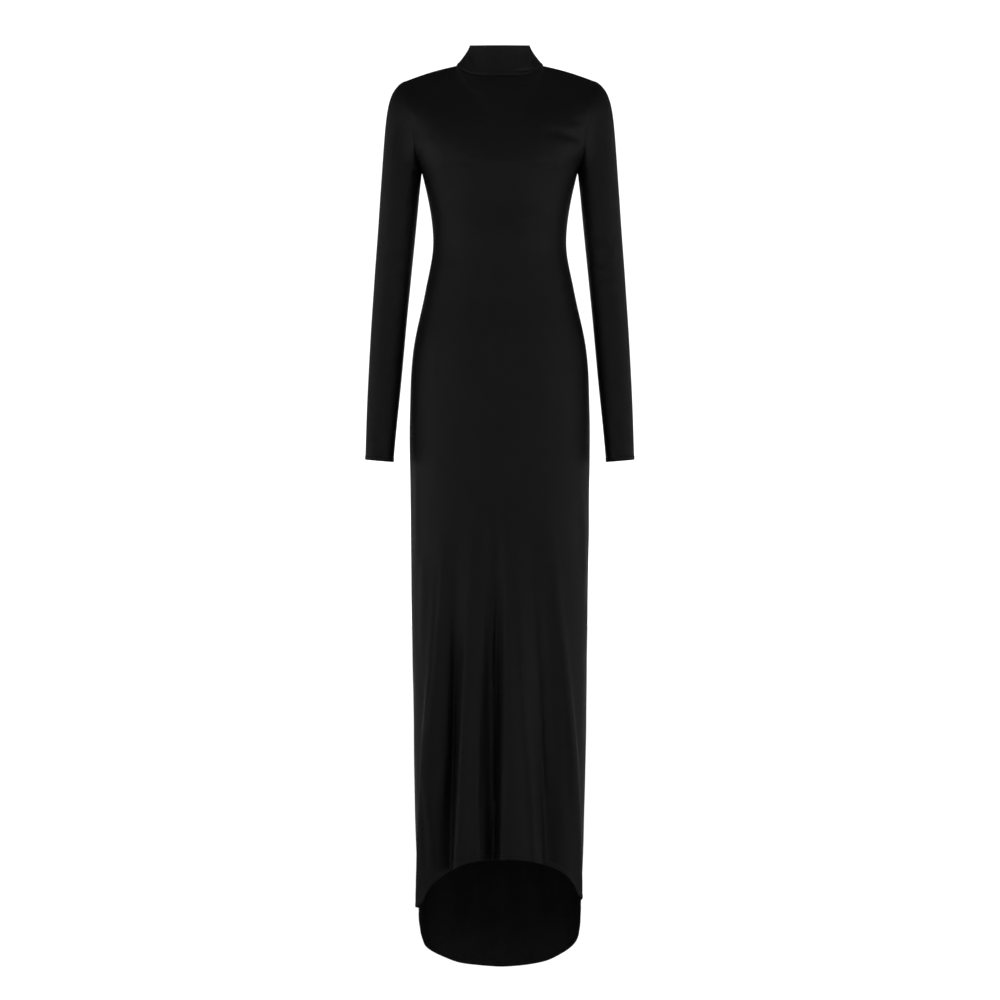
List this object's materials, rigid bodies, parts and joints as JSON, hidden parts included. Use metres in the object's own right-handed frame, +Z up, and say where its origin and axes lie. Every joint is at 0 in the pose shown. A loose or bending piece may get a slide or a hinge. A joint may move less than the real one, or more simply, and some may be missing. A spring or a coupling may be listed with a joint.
{
  "type": "evening dress",
  "caption": "Floor-length evening dress with a high collar, long slim sleeves and a fitted body, its hem scooped in front and dipped behind, filled out as worn",
  "frame": {"origin": "the middle of the neck hole, level with the side neck points where the collar meets the shoulder seams", "axes": "+Z up along the dress, the front faces -Y, the wearer's left is at +X"},
  "size_m": [0.4952, 0.2967, 1.7367],
  "materials": {
    "body_jersey": "soft black jersey with a low sheen",
    "sleeve_jersey": "soft black jersey with a low sheen",
    "collar_jersey": "doubled soft black jersey with a low sheen"
  },
  "bodies": {
    "root": {"front_panel": "body_jersey", "back_panel": "body_jersey", "sleeve_left": "sleeve_jersey", "sleeve_right": "sleeve_jersey", "collar": "collar_jersey"}
  },
  "joints": []
}
